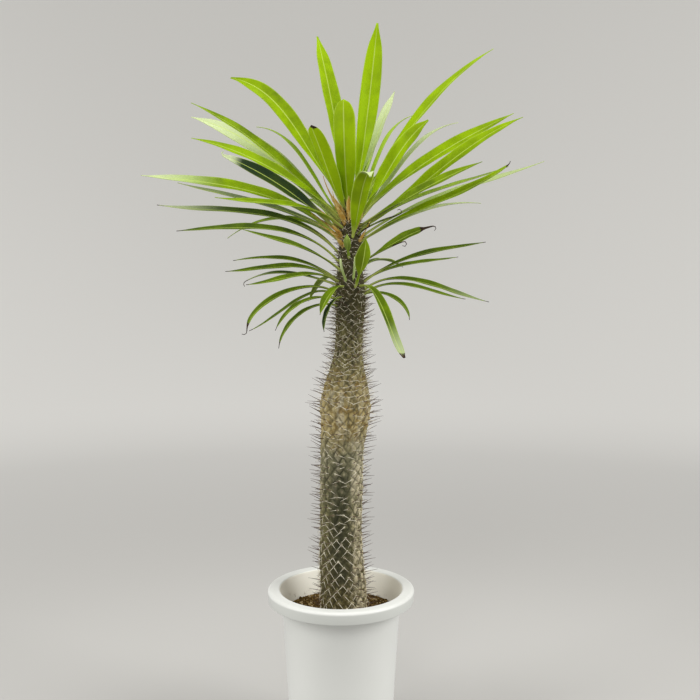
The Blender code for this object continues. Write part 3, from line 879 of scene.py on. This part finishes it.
# height, azimuth, reach, tip height, rise at the base and at the tip, width, outline and twist,
# then tone (painted light and shade: lower for leaves in shade or showing their shaded face), paleness (on
# some leaves a painted glare) and where along the leaf its tip is dried up; only outlines differ from the
# part
leafPlan = {
    "leaf_top_01": (886, 158, 213, 1093, 47, 11, 30, oblong, -54, 0.76, 0.0, 1.0),
    "leaf_top_02": (884, 116, 128, 1167, 73, 60, 32, oblong, 0, 0.9, 0.0, 1.0),
    "leaf_top_03": (888, 45, 60, 1172, 76, 82, 34, oblong, 45, 0.95, 0.0, 1.0),
    "leaf_top_04": (866, 258, 52, 1038, 66, 86, 36, spoon, 0, 0.92, 0.0, 1.0),
    "leaf_top_05": (870, 232, 96, 996, 50, 52, 32, spoon, 0, 1.0, 0.0, 0.985),
    "leaf_top_06": (868, 136, 170, 1062, 54, 36, 24, strap, 0, 0.9, 0.75, 1.0),
    "leaf_top_07": (854, 143, 199, 1019, 44, 6, 14, strap, 0, 1.0, 0.1, 1.0),
    "leaf_top_08": (874, 64, 172, 1083, 58, 44, 26, oblong, -17, 0.9, 0.85, 1.0),
    "leaf_top_09": (862, 46, 150, 1036, 56, 14, 16, strap, -16, 1.0, 0.1, 1.0),
    "leaf_top_10": (877, 20, 250, 1141, 56, 31, 28, strap, 17, 0.9, 0.0, 1.0),
    "leaf_top_11": (855, 322, 146, 1001, 46, 28, 32, oblong, 79, 0.84, 0.0, 1.0),
    "leaf_top_12": (852, 36, 227, 1028, 42, 10, 18, broad, 0, 0.7, 0.8, 1.0),
    "leaf_top_13": (827, 285, 118, 929, 52, 6, 30, oblong, 0, 0.86, 0.0, 1.0),
    "leaf_left_01": (851, 163, 275, 1053, 46, 24, 26, broad, -22, 0.72, 0.0, 1.0),
    "leaf_left_02": (842, 148, 328, 1043, 45, 14, 34, broad, -48, 0.7, 0.75, 1.0),
    "leaf_left_03": (858, 176, 254, 988, 41, 11, 26, broad, -35, 0.8, 0.0, 1.0),
    "leaf_left_04": (834, 202, 218, 955, 41, 17, 26, broad, -64, 0.05, 0.0, 1.0),
    "leaf_left_05": (826, 186, 325, 925, 45, 4, 27, broad, -40, 0.78, 0.0, 1.0),
    "leaf_left_06": (830, 153, 336, 928, 28, 14, 20, broad, -15, 0.26, 0.2, 1.0),
    "leaf_left_07": (843, 216, 241, 885, 36, 6, 18, broad, -31, 0.76, 0.0, 1.0),
    "leaf_left_08": (801, 176, 311, 883, 52, 8, 22, broad, -28, 0.3, 0.0, 0.99),
    "leaf_left_09": (788, 194, 272, 839, 51, -5, 20, strap, -30, 0.4, 0.0, 0.99),
    "leaf_left_10": (818, 141, 279, 833, 38, -28, 16, strap, -26, 0.6, 0.0, 1.0),
    "leaf_left_11": (775, 222, 211, 840, 36, 14, 16, strap, -37, 0.42, 0.0, 1.0),
    "leaf_left_12": (759, 163, 202, 794, 40, -8, 15, strap, -22, 0.4, 0.0, 0.99),
    "leaf_left_13": (756, 183, 198, 777, 47, -2, 17, strap, -28, 0.44, 0.0, 0.98),
    "leaf_left_14": (753, 148, 226, 751, 16, -30, 13, strap, -18, 0.3, 0.0, 0.9),
    "leaf_left_15": (758, 208, 178, 758, 35, -3, 15, strap, -26, 0.46, 0.0, 0.98),
    "leaf_left_16": (736, 194, 164, 673, 55, -112, 17, strap, -21, 0.5, 0.0, 0.86),
    "leaf_left_17": (734, 171, 167, 680, 44, -22, 13, strap, -23, 0.45, 0.0, 0.97),
    "leaf_left_18": (730, 218, 144, 689, 24, -62, 14, strap, -6, 0.46, 0.0, 0.97),
    "leaf_left_19": (720, 203, 121, 658, 30, -84, 14, strap, -12, 0.45, 0.0, 0.93),
    "leaf_left_20": (752, 240, 92, 712, 18, -62, 20, strap, 6, 0.5, 0.0, 0.98),
    "leaf_left_21": (736, 232, 66, 684, 16, -104, 14, strap, 18, 0.12, 0.0, 0.97),
    "leaf_right_01": (860, 13, 273, 1033, 45, 25, 26, broad, 45, 0.8, 0.0, 1.0),
    "leaf_right_02": (842, 352, 267, 1013, 30, 21, 26, broad, 53, 0.84, 0.0, 1.0),
    "leaf_right_03": (846, 334, 217, 940, 28, 17, 22, broad, 48, 0.6, 0.0, 1.0),
    "leaf_right_04": (821, 343, 262, 947, 36, 37, 22, broad, 37, 0.72, 0.0, 0.95),
    "leaf_right_05": (828, 2, 308, 951, 37, 21, 18, strap, 28, 0.75, 0.55, 1.0),
    "leaf_right_06": (838, 24, 294, 953, 38, 20, 16, strap, 13, 0.7, 0.1, 1.0),
    "leaf_right_07": (822, 34, 274, 893, 26, -2, 14, strap, 13, 0.5, 0.55, 1.0),
    "leaf_right_08": (788, 340, 147, 849, 30, 9, 20, strap, 48, 0.46, 0.0, 0.8),
    "leaf_right_09": (756, 8, 222, 824, 40, 10, 16, strap, 26, 0.4, 0.0, 0.99),
    "leaf_right_10": (758, 28, 207, 800, 30, 8, 14, strap, 19, 0.42, 0.0, 0.99),
    "leaf_right_11": (744, 356, 220, 729, 44, -12, 17, strap, 27, 0.32, 0.0, 0.98),
    "leaf_right_12": (736, 19, 203, 730, 42, -9, 13, strap, 30, 0.42, 0.0, 0.98),
    "leaf_right_13": (738, 336, 101, 702, 34, -88, 13, strap, 17, 0.36, 0.0, 0.98),
    "leaf_right_14": (752, 314, 118, 647, 24, -50, 22, band, 0, 0.5, 0.12, 0.97),
    "leaf_front_01": (746, 292, 64, 828, 52, 76, 26, oval, 0, 0.56, 0.0, 1.0),
    "leaf_front_02": (792, 264, 44, 835, 70, 118, 12, oval, 0, 0.55, 0.1, 1.0),
    "leaf_back_01": (868, 95, 250, 1040, 50, 20, 28, broad, 0, 0.85, 0.0, 1.0),
    "leaf_back_02": (838, 76, 290, 955, 42, 8, 26, broad, 0, 0.75, 0.0, 1.0),
    "leaf_back_03": (812, 110, 270, 905, 45, 0, 24, broad, 0, 0.6, 0.0, 1.0),
    "leaf_back_04": (788, 88, 240, 845, 45, -5, 20, strap, 0, 0.5, 0.0, 0.98),
    "leaf_back_05": (764, 62, 200, 782, 42, -15, 17, strap, 0, 0.42, 0.0, 0.98),
    "leaf_back_06": (750, 114, 180, 722, 36, -45, 16, strap, 0, 0.42, 0.0, 0.96),
    "leaf_back_07": (736, 86, 140, 672, 30, -70, 15, strap, 0, 0.38, 0.0, 0.95),
}
# tips that turn pale: how pale, and from where to where along the leaf
paleTips = {
    "leaf_top_13": (0.7, 0.84, 0.9),
    "leaf_left_04": (0.75, 0.82, 0.9),
    "leaf_left_05": (0.65, 0.62, 0.95),
    "leaf_left_08": (0.5, 0.62, 0.95),
    "leaf_left_14": (0.3, 0.6, 0.9),
    "leaf_right_11": (0.25, 0.6, 0.95),
    "leaf_right_14": (0.5, 0.62, 0.92),
}
# where along the leaf its tip starts to curl, the curl's radius and how far it turns
leafCurls = {
    "leaf_left_04": (0.95, 3 * mm, 170),
    "leaf_top_13": (0.86, 12 * mm, -95),
    "leaf_left_14": (0.93, 5 * mm, -120),
    "leaf_left_16": (0.93, 5 * mm, 130),
    "leaf_right_04": (0.94, 9 * mm, 50),
    "leaf_right_08": (0.93, 3.5 * mm, -230),
    "dry_leaf_01": (0.78, 4 * mm, -250),
    "dry_leaf_02": (0.78, 4 * mm, 210),
    "dry_leaf_03": (0.70, 3 * mm, 220),
}
blade = {
    "steps": 40,
    "smallSteps": 16,  # for the dried and the young ones
    "acrossSteps": 10,
    "thickness": 2.2 * mm,
    "thinShare": 0.4,
    "thinFrom": 0.35,
    "stalk": 5.5 * mm,
    "tip": 0.9 * mm,
    "curledHalf": 0.95 * mm,
    "reachIn": 0.75,
    "pull": 0.36,
    "turnedBy": 0.45,
    "foldBase": 38.0,
    "foldTip": 12.0,
    "ripple": 0.05,
    "rib": 0.55 * mm,
    "seed": 3,
    # painted light and shade: from shaded dark green to lit bright green
    "shadedToLitGreens": [
        (0.0, (0.010, 0.026, 0.012)), (0.25, (0.032, 0.060, 0.006)), (0.5, (0.085, 0.140, 0.003)),
        (0.75, (0.190, 0.300, 0.001)), (1.0, (0.290, 0.455, 0.0005)),
    ],
    "veinTone": (0.32, 0.43, 0.02),
    "underTone": (0.25, 0.34, 0.012),
    "paleAndGlareTone": (0.66, 0.74, 0.44),
    "marginTone": (0.46, 0.56, 0.12),
    "ribTone": (0.50, 0.61, 0.13),
    "stalkTone": (0.50, 0.55, 0.14),
    "browns": [(0.3, (0.012, 0.008, 0.006)), (0.6, (0.045, 0.025, 0.015)), (0.8, (0.16, 0.09, 0.04))],
    "straws": ((0.60, 0.34, 0.06), (0.74, 0.55, 0.20)),
    "strawShare": 0.8,
}


def leafMaterial():
    material, tree, shader = newMaterial("leafSkin")
    place = objectPlace(tree)
    split = splitPlace(tree, makeNode(tree, "ShaderNodeUVMap", uv_map="leafMap").outputs[0])
    along = split["X"]
    offRib = maths(tree, "ABSOLUTE", maths(tree, "SUBTRACT", split["Y"], 0.5))
    # painted light and shade: each leaf's tone says how lit it looks
    toneWithPaintedShade = attribute(tree, "tone")
    cloud = ranged(tree, noisy(tree, place, 26.0, 4.0), 0.3, 0.7, -0.12, 0.12)
    colour = ramped(tree, added(tree, toneWithPaintedShade, cloud), blade["shadedToLitGreens"])
    # fine veins slant from the midrib to the margin
    slant = added(tree, multiplied(tree, along, 62.0), multiplied(tree, offRib, -14.0))
    veins = maths(tree, "SINE", multiplied(tree, slant, 6.283))
    colour = mixed(tree, ranged(tree, veins, 0.55, 1.0, 0.0, 0.12), colour, blade["veinTone"])
    under = multiplied(tree, attribute(tree, "under"), 0.2)
    colour = mixed(tree, under, colour, blade["underTone"])
    # pale tissue and painted glare: on some leaves the paleness stands in for glare off the blade
    colour = mixed(tree, attribute(tree, "pale"), colour, blade["paleAndGlareTone"])
    margin = ranged(tree, offRib, 0.45, 0.49, 0.0, 0.5)
    colour = mixed(tree, margin, colour, blade["marginTone"])
    rib = ranged(tree, offRib, 0.014, 0.040, 0.72, 0.0)
    colour = mixed(tree, rib, colour, blade["ribTone"])
    # bright leaves have the shorter pale stalk
    stalkEnd = maths(tree, "SUBTRACT", 0.34, multiplied(tree, toneWithPaintedShade, 0.18))
    stalk = ranged(tree, along, 0.04, stalkEnd, 0.7, 0.0)
    colour = mixed(tree, stalk, colour, blade["stalkTone"])
    # dried tissue is patchy where it begins
    patches = ranged(tree, noisy(tree, place, 160.0, 4.0), 0.3, 0.7, -0.25, 0.25)
    dried = added(tree, attribute(tree, "dry"), patches)
    brown = ramped(tree, noisy(tree, place, 220.0, 4.0), blade["browns"])
    papery = mixed(tree, ranged(tree, noisy(tree, place, 130.0, 5.0), 0.4, 0.6), *blade["straws"])
    brown = mixed(tree, attribute(tree, "straw"), brown, papery)
    colour = mixed(tree, ranged(tree, dried, 0.35, 0.65), colour, brown)
    tree.links.new(colour, shader.inputs["Base Color"])
    rough = ranged(tree, noisy(tree, place, 70.0, 4.0), 0.3, 0.7, 0.36, 0.52)
    tree.links.new(rough, shader.inputs["Roughness"])
    shader.inputs["Specular IOR Level"].default_value = 0.05
    fine = added(tree, multiplied(tree, veins, 0.25), noisy(tree, place, 500.0, 4.0))
    tree.links.new(bumped(tree, fine, 0.25, 0.0005), shader.inputs["Normal"])
    return material


leafSkin = leafMaterial()


def midrib(height, reach, tipHeight, baseRise, tipRise):
    radius = stemAt(height * mm)[0]
    start = Vector((radius * blade["reachIn"], height * mm))
    end = Vector((reach * mm, tipHeight * mm))
    pull = blade["pull"] * (end - start).length
    leaving = math.radians(baseRise)
    arriving = math.radians(tipRise)
    return (
        start,
        start + pull * Vector((math.cos(leaving), math.sin(leaving))),
        end - pull * Vector((math.cos(arriving), math.sin(arriving))),
        end,
    )


def onCurve(points, share):
    a, b, c, d = points
    rest = 1 - share
    spot = rest**3 * a + 3 * rest**2 * share * b + 3 * rest * share**2 * c + share**3 * d
    slope = 3 * rest**2 * (b - a) + 6 * rest * share * (c - b) + 3 * share**2 * (d - c)
    return spot, slope.normalized(), slope.length


def curled(curve, share, curl):
    # follows the midrib, and winds up into a curl near the tip
    start, radius, turn = curl
    if share <= start:
        return onCurve(curve, share)[:2]
    spot, slope, speed = onCurve(curve, start)
    way = 1 if turn > 0 else -1
    whole = math.radians(abs(turn))
    angle = min((share - start) * speed / radius, whole * (share - start) / (1 - start))
    heading = math.atan2(slope.y, slope.x)
    normal = Vector((-slope.y, slope.x)) * way
    middle = spot + normal * radius
    bent = heading + way * angle
    wound = middle + radius * way * Vector((math.sin(bent), -math.cos(bent)))
    return wound, Vector((math.cos(bent), math.sin(bent)))


def halfWidth(plan, share, winds):
    width, outline = plan[6:8]
    dryFrom = plan[11]
    wide = max(smoothList(outline, share), 0.0) * width * mm / 2
    if outline is spoon:
        wide *= math.sqrt(max(0.0, 1 - max(0.0, (share - 0.84) / 0.16) ** 2))
    stalk = blade["stalk"] / 2 * (1 - 0.7 * smoothStep(0.2, 0.5, share))
    stalk *= 1 + 0.5 * smoothStep(0.08, 0.0, share)
    narrow = stalk + (blade["tip"] / 2 - stalk) * smoothStep(0.5, 1.0, share)
    if winds:
        narrow = max(narrow, blade["curledHalf"])
    half = max(wide, narrow)
    if dryFrom < 1:  # dried tips shrink
        half *= 1 - 0.55 * smoothStep(dryFrom - 0.04, dryFrom + 0.04, share)
    return half


def skinLevel(share, side, under):
    # how far the upper or the lower skin stands off the middle of the blade
    left = max(0.0, 1 - share / blade["thinFrom"])
    thick = blade["thickness"] * (blade["thinShare"] + (1 - blade["thinShare"]) * left)
    thick *= 1 - 0.35 * abs(side) ** 3
    if under:
        return -thick / 2 - blade["rib"] * smoothStep(0.24, 0.0, abs(side)) * (1 - 0.7 * share)
    return thick / 2 - 0.25 * blade["rib"] * smoothStep(0.12, 0.0, abs(side)) * smoothStep(0.15, 0.3, share)


def makeLeaf(name, plan, replaced, straw=0.0, steps=blade["steps"]):
    height, azimuth, reach, tipHeight, baseRise, tipRise = plan[:6]
    twist, tone, pale, dryFrom = plan[8:]
    chance = random.Random(name + str(blade["seed"]))
    compass = math.radians(azimuth)
    outward = Vector((math.cos(compass), math.sin(compass), 0.0))
    beside = Vector((-outward.y, outward.x, 0.0))
    lean = Vector((stemAt(height * mm)[1], 0.0, 0.0))
    curve = midrib(height, reach, tipHeight, baseRise, tipRise)
    curl = leafCurls.get(name)
    phase = chance.uniform(0, 6.28)
    waves = chance.uniform(2.5, 4.5)
    bm = bmesh.new()
    uvLayer = bm.loops.layers.uv.new("leafMap")
    layers = {key: bm.verts.layers.float.new(key) for key in ("tone", "pale", "dry", "under", "straw")}
    bmesh.ops.create_grid(bm, x_segments=steps, y_segments=blade["acrossSteps"], size=0.5)
    for face in bm.faces:
        for loop in face.loops:
            loop[uvLayer].uv = (loop.vert.co.x + 0.5, loop.vert.co.y + 0.5)
    upperSet = set(bm.verts)
    copied = bmesh.ops.duplicate(bm, geom=bm.verts[:] + bm.edges[:] + bm.faces[:])
    lowerFaces = [item for item in copied["geom"] if isinstance(item, bmesh.types.BMFace)]
    bmesh.ops.reverse_faces(bm, faces=lowerFaces)
    rims = [edge for edge in bm.edges if edge.is_boundary]
    bmesh.ops.bridge_loops(bm, edges=rims)
    for vert in bm.verts:
        share = vert.co.x + 0.5
        side = vert.co.y * 2
        under = vert not in upperSet
        spot, slope = curled(curve, share, curl) if curl else onCurve(curve, share)[:2]
        normal = upward * slope.x - outward * slope.y
        turn = math.radians(twist) * min(share / blade["turnedBy"], 1.0)
        across = beside * math.cos(turn) + normal * math.sin(turn)
        above = normal * math.cos(turn) - beside * math.sin(turn)
        fold = math.radians(blade["foldBase"] + (blade["foldTip"] - blade["foldBase"]) * share)
        half = halfWidth(plan, share, curl)
        raised = (math.sqrt(side * side + 0.006) - 0.5) * half * math.sin(fold)
        ripple = blade["ripple"] * half * math.sin(share * waves * 6.28 + phase + (2.1 if side > 0 else 0))
        raised += ripple * side * side * smoothStep(0.2, 0.4, share)
        path = lean + outward * spot.x + upward * spot.y
        level = skinLevel(share, side, under)
        vert.co = path + across * side * half * math.cos(fold) + above * (raised + level)
        # painted shade towards the stem, and painted light on one half of the folded blade
        vert[layers["tone"]] = tone - 0.1 * smoothStep(0.3, 0.0, share) + 0.07 * side
        # paleness grows towards the tip; on some leaves it is painted glare
        vert[layers["pale"]] = pale * (0.45 + 0.55 * smoothStep(0.3, 0.9, share))
        if name in paleTips:
            most, paleFrom, paleTo = paleTips[name]
            vert[layers["pale"]] = most * smoothStep(paleFrom, paleTo, share)
        dry = smoothStep(dryFrom - 0.05, dryFrom + 0.02, share) if dryFrom < 1 else 0.0
        vert[layers["dry"]] = max(dry, straw)
        vert[layers["under"]] = 1.0 if under else 0.0
        vert[layers["straw"]] = straw
    bmesh.ops.recalc_face_normals(bm, faces=bm.faces)
    addPiece(bm, name + "_blade", leafSkin, replaced)


for leafName, leafFacts in leafPlan.items():
    makeLeaf(leafName, leafFacts, leafName)
print("leaves made:", len(leafPlan))


# Dried leaf bases, dried leaves and old stalks that still sit on the stem

dryPlan = {
    "dry_base_01": (858, 215, 52, 925, 55, 72, 18, wedge, 0, 0.5, 0.0, 0.5),
    "dry_base_02": (848, 226, 40, 902, 58, 80, 14, wedge, 0, 0.5, 0.0, 0.5),
    "dry_base_03": (850, 262, 26, 930, 70, 90, 10, wedge, 0, 0.5, 0.0, 0.5),
    "dry_base_04": (842, 312, 38, 896, 60, 74, 11, wedge, 0, 0.5, 0.0, 0.5),
    "dry_base_05": (828, 206, 46, 868, 45, 50, 13, wedge, 0, 0.5, 0.0, 0.5),
    "dry_base_06": (820, 330, 36, 856, 48, 60, 9, wedge, 0, 0.5, 0.0, 0.5),
    "dry_base_07": (832, 70, 40, 880, 50, 60, 13, wedge, 0, 0.5, 0.0, 0.5),
    "dry_base_08": (842, 140, 38, 894, 52, 64, 13, wedge, 0, 0.5, 0.0, 0.5),
    "dry_base_09": (834, 196, 64, 868, 40, 34, 15, wedge, -30, 0.5, 0.0, 0.5),
    "dry_base_10": (824, 212, 58, 850, 36, 20, 14, wedge, -30, 0.5, 0.0, 0.5),
    "dry_base_11": (842, 183, 60, 884, 46, 44, 14, wedge, -30, 0.5, 0.0, 0.5),
    "dry_base_12": (812, 228, 46, 838, 40, 24, 12, wedge, 0, 0.5, 0.0, 0.5),
    "dry_leaf_01": (790, 333, 117, 830, 24, 12, 6, strap, 30, 0.3, 0.0, 0.62),
    "dry_leaf_02": (838, 338, 104, 873, 30, 20, 6, strap, 30, 0.4, 0.0, 0.62),
    "dry_leaf_03": (834, 318, 50, 847, 20, -10, 7, strap, 0, 0.2, 0.0, 0.4),
    "old_stalk_01": (756, 250, 44, 797, 60, 88, 4.4, rod, 0, 0.8, 0.7, 1.0),
    "old_stalk_02": (758, 284, 32, 800, 68, 92, 4, rod, 0, 0.8, 0.7, 1.0),
}
for dryName, dryFacts in dryPlan.items():
    strawShare = blade["strawShare"] if dryName.startswith("dry_base") else 0.0
    makeLeaf(dryName, dryFacts, None, strawShare, blade["smallSteps"])
print("dried bases, dried leaves and old stalks made:", len(dryPlan))


# Young leaves at the growing tip

budPlan = {
    "bud_leaf_01": (889, 20, 34, 958, 78, 66, 10, oblong, 0, 0.9, 0.1, 1.0),
    "bud_leaf_02": (890, 96, 26, 966, 80, 74, 11, oblong, 0, 0.95, 0.1, 1.0),
    "bud_leaf_03": (888, 168, 38, 948, 74, 58, 10, oblong, 0, 0.9, 0.1, 1.0),
    "bud_leaf_04": (891, 238, 18, 942, 84, 82, 8, oblong, 0, 1.0, 0.15, 1.0),
    "bud_leaf_05": (891, 312, 22, 936, 82, 76, 8, oblong, 0, 1.0, 0.15, 1.0),
}
for budName, budFacts in budPlan.items():
    makeLeaf(budName, budFacts, None, 0.0, blade["smallSteps"])
print("young leaves made:", len(budPlan))
